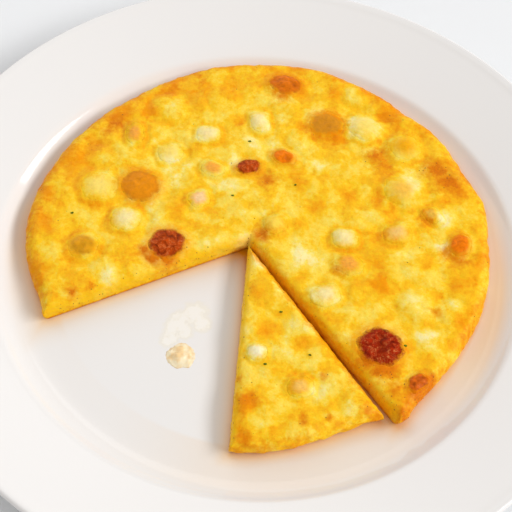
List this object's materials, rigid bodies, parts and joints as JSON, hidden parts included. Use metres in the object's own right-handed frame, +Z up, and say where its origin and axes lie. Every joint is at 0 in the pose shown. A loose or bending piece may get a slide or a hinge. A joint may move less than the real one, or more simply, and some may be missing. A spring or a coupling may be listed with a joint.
{
  "type": "potato frittata on a plate",
  "caption": "Round potato, chorizo and ham frittata with a sector taken out and one narrow slice cut loose, lying on a wide-rimmed white dinner plate.",
  "frame": {"origin": "middle of the plate's underside, in the plane of its foot ring", "axes": "+Z up; -Y towards the person eating, on the side where the sector is missing; +X to their right"},
  "size_m": [0.301, 0.301, 0.0215],
  "materials": {
    "porcelain": "glossy white glaze",
    "egg": "moist, lightly browned",
    "potato": "moist, pale",
    "chorizo": "oily",
    "ham": "moist",
    "onion": "soft, glassy"
  },
  "bodies": {
    "root": {"plate": "porcelain", "frittata": "egg", "frittata_slice": "egg", "potato_1": "potato", "potato_2": "potato", "potato_3": "potato", "potato_4": "potato", "potato_5": "potato", "potato_6": "potato", "potato_7": "potato", "potato_8": "potato", "potato_9": "potato", "potato_10": "potato", "potato_11": "potato", "potato_12": "potato", "potato_13": "potato", "chorizo_1": "chorizo", "chorizo_2": "chorizo", "chorizo_3": "chorizo", "chorizo_4": "chorizo", "chorizo_5": "chorizo", "chorizo_6": "chorizo", "chorizo_7": "chorizo", "chorizo_8": "chorizo", "chorizo_9": "chorizo", "ham_1": "ham", "ham_2": "ham", "ham_3": "ham", "ham_4": "ham", "ham_5": "ham", "ham_6": "ham", "onion_1": "onion", "potato_crumb": "potato"}
  },
  "joints": []
}
